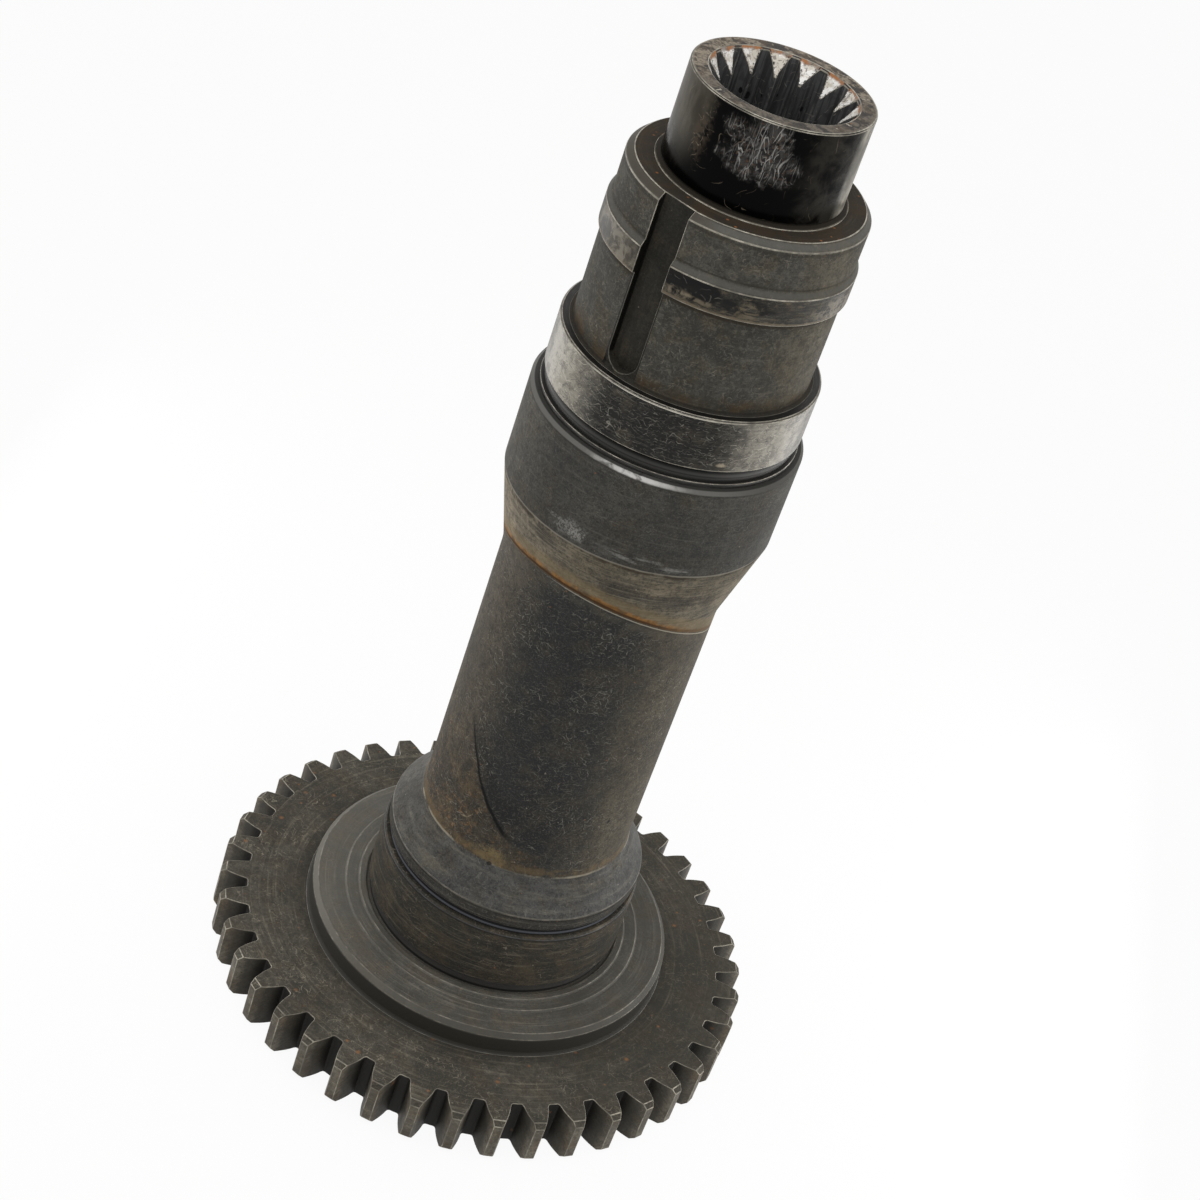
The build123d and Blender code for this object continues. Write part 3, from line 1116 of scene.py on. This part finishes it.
    # pale rub marks on the sleeve
    scrubbed = grain(1, 0.48, 0.14)
    smeared = fade(turning_marks(1.2, 5), 0.44, 0.6)
    grains = grain(0.8, 0.5, 0.06)
    for angle, height, across, tall, amount in (
        (-111, 246, 9, 4.5, 0.5),
        (-108, 245, 5.5, 3.2, 0.8),
        (-119, 247, 6, 1, 0.4),
    ):
        rub = lay(spot(sleeve_radius, angle, height, across, tall, 1.6, 0.6), 0.3 * amount, (130, 126, 115))
        lay((rub, grains), amount, (270, 262, 240))
    for angle, height, across, tall in ((-86, 244.5, 15, 2.4), (-66, 243, 9, 1.5)):
        rub = spot(sleeve_radius, angle, height, across, tall, 1.6, 0.8)
        lay((rub, smeared), 0.7, (150, 147, 135))
        lay((rub, smeared, scrubbed), 0.6, (250, 245, 225))
    # the groove: painted shade at its foot and head, and a painted lit strip on its blue-grey floor
    lay(line(z_flange - groove_length / 2, 0, 3.4), 1, (10, 10, 11), 0.4)
    lay(line(z_groove, 1.1, 0.8), 0.85, (100, 106, 118), 0.4)


@finish((150, 138, 112), 0.36, 0.85, 0.4)
def bearing_steel():
    """Upper bearing seat: ground bright, with a painted dark reflection over the front, a painted highlight
    along its top edge and painted shade in the relief below.
    """
    # painted dark reflection over the front, with mottles in it, fading out towards both ends
    shaded = maths("MULTIPLY_ADD", turning_marks(2.4, 6), 10 * mm, -5 * mm)
    x, y, _ = apart(now.place)
    sideways = maths("ADD", maths("MULTIPLY_ADD", y, 0.16, x), shaded)
    ends = both(fade(sideways, -46 * mm, -25 * mm), fade(sideways, 47 * mm, 2 * mm))
    patina = both(below(0, -8, 10, 6, (0, 1, 0)), ends)
    lay(blotches(14, 0.52, 0.1), 0.6, (85, 74, 55), 0.42)
    lay(blotches(5, 0.54, 0.07), 0.65, (45, 39, 30), 0.42)
    lay(patina, 0.95, (15, 15.2, 15), 0.3)
    lay((patina, blotches(9, 0.57, 0.07)), 0.5, (70, 60, 45))
    rings = turning_marks(0.5, 5)
    lay(fade(rings, 0.54, 0.74), 0.35, (170, 160, 135), 0.35, 0.004)
    lay(fade(rings, 0.46, 0.28), 0.6, (12, 12, 11.5))
    for size, width, share, amount in ((5, 0.035, 0.7, 0.7), (2.6, 0.05, 0.8, 0.6), (1.4, 0.08, 0.7, 0.4)):
        lay(strokes(size, width, 0.5, share, 0.7), amount, (250, 235, 200), 0.4)
    for size, width in ((3.3, 0.06), (2.1, 0.07)):
        lay(strokes(size, width, 0.5, 0.8, 0.7), 0.75, black)
    lay(specks(3, 0.16, 0.35), 0.85, black, 0.6)
    lay(spot(upper_seat_radius, -61, 286.6, 2.4, 1, 2.4, 0.8), 0.6, (340, 290, 210))
    top = lay(above(z_collar, -0.15, 0.1), 1, (22, 21, 19), 0.5)
    lay((top, fade(rings, 0.5, 0.62)), 0.5, (60, 57, 50))
    lay(spot(upper_seat_radius, -41, 305, 1.2, 1.2, 1), 0.9, black)
    # painted highlight along the seat's top edge at the front
    lit = spot(upper_seat_radius, -95, 304, 34, 3, 0.6, 0.7)
    lay((line(z_collar, -0.8, 0.32, 0.2), lit), 0.85, (800, 760, 660), 0.3)
    # painted shade in the relief under the seat
    lay(below(z_upper_seat, -0.5, 0.3), 1, (9, 9, 8.5), 0.5)
    lay(below(z_upper_seat, -2.2, 0.7), 0.9, (56, 55, 52), 0.5)
    lay(line(z_upper_seat, -3.6, 0.4), 0.7, (16, 16, 15), 0.5)
    hidden = lay(below(z_ledge, 0, 0.1), 1, (50, 49, 46), 0.5)
    lay((hidden, fade(rings, 0.5, 0.62)), 0.6, (130, 127, 117))


@finish((74, 72, 61))
def collar_steel():
    """Collar: olive-grey, dull, brown at its foot and on its top, with painted light down its right side and
    a painted shadow under the band.
    """
    lay(above(z_band_top, 0, 1), 0.6, (100, 94, 80))
    # tan film with painted light down the collar's right side
    lay(above(0, 23, 10, 10, (1, 0.2, 0)), 0.75, (150, 128, 88))
    wear((36, 35, 30), (92, 72, 46), (250, 232, 186), marks=0.22, scratches=1)
    lay(blotches(5, 0.54, 0.07), 0.4, (34, 32, 27))
    lay(grain(1.6, 0.6, 0.06), 0.25, (200, 185, 150))
    foot = below(z_collar, 4.5, 3.5, 9)
    rust = blotches(12, 0.52, 0.1)
    lay(foot, 0.4, (50, 42, 30))
    lay((foot, rust), 0.6, (110, 68, 30))
    # a dark line in the corner at the collar's foot
    lay(line(z_collar, 0.4, 1.3, 0.6), 0.75, (20, 18, 15))
    top = lay(above(z_collar_top, -0.35, 0.25), 0.95, (25, 20, 14.5))
    rings = turning_marks(1.1, 2)
    lay((top, fade(rings, 0.5, 0.7)), 0.4, (85, 68, 47))
    lay((top, rust), 0.5, (52, 34, 19))
    lay((top, specks(3, 0.3, 0.35)), 0.9, (340, 130, 45))
    # chamfer, and the pale corner below it
    chamfer = lay(line(z_collar_top - collar_chamfer / 2, 0, 1.35), 0.75, (120, 115, 100), 0.5)
    lay((chamfer, left_of(-8, 5, 4)), 0.7, (62, 53, 39), 0.55)
    lay(line(z_collar_top - collar_chamfer, 0, 0.4, 0.2), 0.75, (300, 285, 240))
    lay(line(z_collar_top - collar_chamfer, -1.2, 0.9, 0.5), 0.4, (35, 32, 26))
    # slope above the band, its pale lower corner, and a painted shadow line under the band
    lay(line(z_band_top - band_top_run / 2, 0, 1.4, 0.3), 0.7, (120, 115, 100), 0.5)
    lay(line(z_band_top, 0.4, 0.5, 0.4), 0.6, (40, 35, 26))
    lay(line(z_band, -0.7, 1.1, 0.8), 0.75, (35, 26, 17))


@finish((50, 46, 37), 0.5, 0, 0.12)
def band_steel():
    """Raised band: rubbed grey, black mottles and cream chips beside the keyway, painted highlights with
    rubbed flecks at both sides, a tan lower edge.
    """
    wear((20, 19, 16), (100, 78, 50), (300, 270, 210), marks=0.4, bloom=0.9, level=1)
    coarse = blotches(7, 0.5, 0.05)
    small = blotches(3, 0.5, 0.05)
    flat = stretched(0.4, 0.4, 1.5)
    lay(blotches(4, 0.52, 0.06, place=flat), 0.7, (16, 15.5, 14), 0.4)
    lay(blotches(3, 0.57, 0.05, place=flat), 0.6, (170, 135, 88), 0.42)
    lay(fade(turning_marks(0.7, 5), 0.52, 0.68), 0.35, (150, 135, 105))
    # painted highlight with rubbed flecks on the band's left side
    left = lay(spot(band_radius, -146, 345.5, 20, 8, 0.8, 0.5), 0.6, (90, 74, 50), 0.42)
    lay((left, coarse), 0.6, (280, 250, 195), 0.36)
    lay((left, blotches(9, 0.53, 0.05)), 0.8, (22, 20, 16), 0.4)
    # painted highlight with rubbed flecks on the band's right side
    right = spot(band_radius, -22, 345, 18, 6, 0.8, 0.6)
    lay((right, small), 0.55, (280, 240, 175), 0.42)
    beside = lay(spot(band_radius, -99, 348, 13, 6.5, 0.5, 0.3), 0.95, (6, 6, 6), 0.28)
    lay((beside, strokes(4, 0.06, 0.5, 0.8, 0.4)), 0.8, (160, 150, 130), 0.35)
    further = spot(band_radius, -76, 346.5, 20, 5, 1, 0.6)
    lay((further, coarse), 0.9, (10, 10, 10), 0.3)
    crumbs = blotches(2.5, 0.47, 0.12)
    for angle, across, tall, amount in ((-104, 6, 2.4, 0.75), (-94, 8, 1.2, 0.5)):
        chip = spot(band_radius, angle, 343.8, across, tall, 1.2, 0.6)
        lay((chip, crumbs), amount, (260, 215, 150), 0.45)
    lay(line(z_band + band_low_run, 0.2, 1, 1.4), 0.6, (240, 190, 125), 0.45)


@finish((34, 32, 25))
def keyway_steel():
    """Keyway: dark and dull, with painted shade on one wall."""
    wear((14, 14, 12), (58, 46, 32), (130, 120, 95), marks=0.05, scratches=0.3, grit=0.5)
    lay(grain(2, 0.52, 0.1, place=stretched(1, 1, 0.1)), 0.4, (16, 15, 13))
    # painted shade on one wall of the keyway
    tangent = (-sin(key_turn), cos(key_turn), 0)
    lay(below(-key_width / 2, 0.4, 0.25, slope=tangent), 0.9, (6, 6, 5), 0.4)


@finish((1.6, 1.6, 1.6), 0.16, 0, 0.035)
def seal_steel():
    """Top seat: glossy black oxide with one scuffed patch, painted sheen down its left side and a painted
    highlight down its right edge.
    """
    middling = blotches(12, 0.5, 0.12)
    small = blotches(4, 0.5, 0.07)
    drawn = stretched(1, 1, 0.3)
    streaks = grain(4, 0.5, 0.15, place=drawn)
    on_seat = above(z_lip, 0.5, 0.3)
    # painted sheen down the left side of the seat
    left = lay((above(z_lip, 11, 9, 8), left_of(-22.5, 4.5, 4)), 0.8, (150, 136, 110), 0.4)
    lay((left, streaks), 0.5, (50, 44, 36))
    # painted highlight down the right edge, and painted sheen mottling the right side
    right = lay((on_seat, right_of(29.5, 1.3, 1.6)), 0.95, (700, 660, 560), 0.4)
    lay((right, streaks), 0.4, (100, 90, 70))
    lay((right_of(17, 8, 10), middling), 0.7, (50, 46, 38), 0.35)
    film = lay(spot(top_seat_radius, -137, 399, 9, 13, 0.9, 0.7), 0.7, (75, 66, 50), 0.35)
    lay((film, streaks), 0.6, (30, 26, 20))
    side = spot(top_seat_radius, -129, 392, 5, 14, 1.4, 0.7)
    lay((side, small), 0.5, (100, 75, 53), 0.4)
    lay((side, strokes(3, 0.08, 0.5, 0.9)), 0.8, (240, 200, 150))
    flecks = grain(1.4, 0.6, 0.05)
    for angle, height, across, tall, amount in (
        (-89, 399, 9, 11, 0.9),
        (-91, 390, 14, 8, 1),
        (-77, 391, 9, 8, 0.75),
        (-108, 399, 6, 5, 0.5),
    ):
        scuff = spot(top_seat_radius, angle, height, across, tall, 1.5, 0.75)
        lay((scuff, small), 0.8 * amount, (85, 81, 76), 0.45)
        lay(scuff, 0.3 * amount, (60, 58, 55), 0.45)
        lay((scuff, flecks), 0.8 * amount, (100, 62, 38), 0.45)
        for size, width, pale in ((4.1, 0.045, 550), (3.1, 0.05, 450), (2.3, 0.07, 360), (1.6, 0.09, 260)):
            marks = strokes(size, width, 0.6, 1, place=drawn)
            lay((scuff, marks), amount, (pale, pale * 0.97, pale * 0.92), 0.45, 0.03)
        lay((scuff, strokes(1.9, 0.12, 0.6, 0.9)), 0.9 * amount, (6, 6, 7), 0.3, -0.03)
    for size, share, amount in ((7, 0.45, 0.7), (3.5, 0.2, 0.5)):
        lay((strokes(size, 0.03, 0.4, share), middling), amount, (200, 160, 120), 0.4)
    lay(specks(4, 0.15, 0.4), 0.9, (450, 400, 300), 0.5)
    # the lip at the foot: brown-black, with a broken pale line round it
    lay(outside(on_seat), 0.95, (26, 22, 17), 0.6)
    lay((beyond(lip_radius, -0.5, 0.2, 0.4), middling), 0.7, (200, 175, 135), 0.5)


@finish((75, 56, 39), 0.55, 0, 0.15)
def rim_steel():
    """Rim of the top: brown-grey with tan and dark patches, pale at its outer corner."""
    lay(fade(turning_marks(1.6, 6), 0.45, 0.65), 0.4, (170, 135, 100))
    lay(blotches(9, 0.47, 0.07), 0.95, (13, 10.5, 8.5), 0.45, -0.03)
    lay(blotches(5, 0.52, 0.05), 0.75, (290, 240, 175), 0.4)
    lay(blotches(3, 0.64, 0.04), 0.8, (500, 450, 360), 0.4)
    lay(grain(1.3, 0.54, 0.07), 0.6, (30, 24, 18), 0.5, -0.02)
    lay(specks(2.6, 0.22, 0.4), 0.8, (14, 11, 9), 0.6)
    lay(specks(4, 0.2, 0.3), 0.8, (380, 150, 50), 0.6)
    lay(beyond(top_seat_radius, -1.1, 0.25, 0.5), 0.35, (300, 260, 200), 0.38)
    lay((below(0, -4, 8, 8, (-0.4, 1, 0)), blotches(5, 0.5, 0.08)), 0.6, (30, 24, 19))


@finish((880, 860, 820), 0.35, 0.2, 0.4)
def lead_in_steel():
    """Lead-in cone: bright where it was cut, with burred tooth edges and rust along its upper edge."""
    lay(blotches(5, 0.52, 0.06), 0.6, (420, 350, 250), 0.45)
    lay(blotches(2.4, 0.6, 0.05), 0.7, (100, 80, 60), 0.5, -0.05)
    lay(strokes(2, 0.12, 0.5, 0.8), 0.7, (60, 50, 45), 0.5, -0.05)
    upper = lay(beyond(lead_in_radius, -0.8, 0.3, 2.6), 0.75, (110, 75, 50), 0.6)
    lay((upper, blotches(8, 0.5, 0.08)), 0.9, (380, 150, 45), 0.6)
    # burrs: the spaces' dark edges bite into the cone
    pitch_angle = 2 * pi / spline_teeth
    x, y, _ = apart(now.place)
    angle = maths("SUBTRACT", maths("ARCTAN2", y, x), spline_turn)
    turn = maths("FRACT", maths("ADD", maths("DIVIDE", angle, pitch_angle), 0.5))
    off = maths("ABSOLUTE", maths("SUBTRACT", turn, 0.5))
    wide, narrow = (half_space(end) / pitch_angle for end in (spline_minor_radius, spline_major_radius))
    per_metre = (wide - narrow) / (spline_major_radius - spline_minor_radius)
    out = maths("SUBTRACT", radius_of(now.place), spline_minor_radius)
    edge = maths("MULTIPLY_ADD", out, -per_metre, wide)
    uneven = maths("SUBTRACT", noise(now.place, 1300, 3, 0.7)[0], 0.42)
    burr = maths("MULTIPLY_ADD", uneven, 0.42, edge)
    lay(fade(maths("SUBTRACT", burr, off), -0.004, 0.006), 0.95, (20, 20, 20), 0.6, -0.1)


@finish((115, 116, 117), 0.5, 0, 0.3)
def spline_steel():
    """Spline teeth and spaces: charcoal, drawn lengthwise, chipped."""
    drawn = stretched(1, 1, 0.05)
    lay(grain(1.3, 0.5, 0.08, place=drawn), 0.7, (35, 35, 35))
    lay(grain(2.4, 0.62, 0.05, place=drawn), 0.5, (340, 330, 310), 0.4)
    lay(blotches(6, 0.55, 0.07), 0.6, (50, 50, 50), 0.6)
    lay(strokes(3, 0.07, 0.5, 0.6), 0.5, (400, 380, 340))
    chips = both(specks(3, 0.6, 0.6, place=stretched(1, 1, 0.6)), below(z_rim, -14, 4, 6))
    lay(fade(chips, 0.2, 0.35), 0.95, (4, 4, 4), 0.7, -0.1)


@finish((60, 55, 46), 0.6, 0, 0.2)
def bore_steel():
    """Bore: dark, with boring marks."""
    wear((24, 22, 20), (100, 70, 45), (150, 130, 105), marks=0.5)


# Studio


floor_glow = 0.93
sky_light = 0.55
side_lamp = (0.18, 0.46)
top_lamp = (1.2, 1.2)
camera_place = (0, -0.77009, 0.7234)
camera_turn = (pi / 2 - 0.6065, 0, 0.3447)
camera_lens = 75.35


def shown_plainly(tree):
    """1 for rays from the camera, off gloss and through glass, which see plain white."""
    path = put("LightPath", {}, tree)
    seen = maths("MAXIMUM", path["Is Camera Ray"], path["Is Glossy Ray"])
    return maths("MAXIMUM", seen, path["Is Transmission Ray"])


def studio_floor():
    """Plain pale floor that shows white, with a faint shadow of the shaft."""
    clear_selection()
    bpy.ops.mesh.primitive_plane_add(size=40)
    floor = bpy.context.object
    floor.name = "studio_floor"
    pale = bpy.data.materials.new("pale_floor")
    pale.use_nodes = True
    tree = pale.node_tree
    matt = put("BsdfDiffuse", {"Color": (800, 800, 800)}, tree)[0]
    glow = put("Emission", {"Strength": 1}, tree)[0]
    mixed = put("MixShader", {0: both(shown_plainly(tree), floor_glow), 1: matt, 2: glow})[0]
    tree.links.new(mixed, tree.nodes["Material Output"].inputs["Surface"])
    tree.nodes.remove(tree.nodes["Principled BSDF"])
    floor.data.materials.append(pale)
    floor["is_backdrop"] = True


def soft_light(name, place, turn, size, power):
    """A soft rectangular studio lamp that the camera doesn't see."""
    clear_selection()
    bpy.ops.object.light_add(type="AREA", location=place, rotation=turn)
    lamp = bpy.context.object
    lamp.name = name
    lamp.data.shape = "RECTANGLE"
    lamp.data.size, lamp.data.size_y = size
    lamp.data.energy = power
    lamp.visible_camera = False


def studio():
    """Floor, lamps, pale surroundings and the camera at the photograph's angle."""
    studio_floor()
    soft_light("left_lamp", (-0.3, 0.09, 0.12), (0, -pi / 2, 0), side_lamp, 0.5)
    soft_light("right_lamp", (0.3, 0.09, 0.12), (0, pi / 2, 0), side_lamp, 0.6)
    soft_light("top_lamp", (0, -0.3, 1.5), (-0.2, 0, 0), top_lamp, 8.5)
    world = bpy.data.worlds.new("pale_surroundings")
    bpy.context.scene.world = world
    world.use_nodes = True
    tree = world.node_tree
    level = put("Mix", {0: shown_plainly(tree), 2: sky_light, 3: 1})[0]
    feed(tree.nodes["Background"], {"Color": (1, 1, 1, 1), "Strength": level})
    clear_selection()
    bpy.ops.object.camera_add(location=camera_place)
    camera = bpy.context.object
    camera.rotation_mode = "ZYX"
    camera.rotation_euler = camera_turn
    camera.data.lens = camera_lens
    bpy.context.scene.camera = camera
    bpy.context.scene.view_settings.view_transform = "Standard"


studio()
dull_edge = worn_edge("dull_edge", (60, 55, 45), (170, 155, 125), 0.52)
dark_edge = worn_edge("dark_edge", (30, 30, 31), (70, 71, 75), 0.5)
boss_edge = worn_edge("boss_edge", (80, 74, 60), (210, 195, 160), 0.52)
tooth_edge = worn_edge("tooth_edge", (120, 110, 88), (380, 345, 275), 0.5)
collar_edge = worn_edge("collar_edge", (140, 130, 105), (500, 460, 380), 0.48, z_band)
bright_edge = worn_edge("bright_edge", (140, 130, 105), (520, 480, 400), 0.48)
gear_wheel(web_steel, tooth_steel, tooth_edge)
gear_boss(boss_steel, boss_edge)
bearing_seat(
    "lower_bearing_seat", lower_seat_radius, lower_relief_depth, z_step_inner - lower_relief_dip - tuck,
    z_lower_seat, z_groove, lower_seat_edge, groove_radius, (lower_seat_steel, dark_edge),
)
shaft_body(shaft_steel, dull_edge)
bearing_seat(
    "upper_bearing_seat", upper_seat_radius, upper_relief_depth, z_ledge, z_upper_seat, z_collar,
    upper_seat_edge, collar_radius, (bearing_steel, bright_edge),
    start=[(ledge_radius, z_sleeve_top - tuck), (ledge_radius, z_ledge)],
)
keyed_collar(collar_steel, collar_edge, band_steel, keyway_steel)
splined_top(seal_steel, bright_edge, rim_steel, lead_in_steel, spline_steel)
through_bore(bore_steel)

visual_box = [list(corner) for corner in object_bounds()]
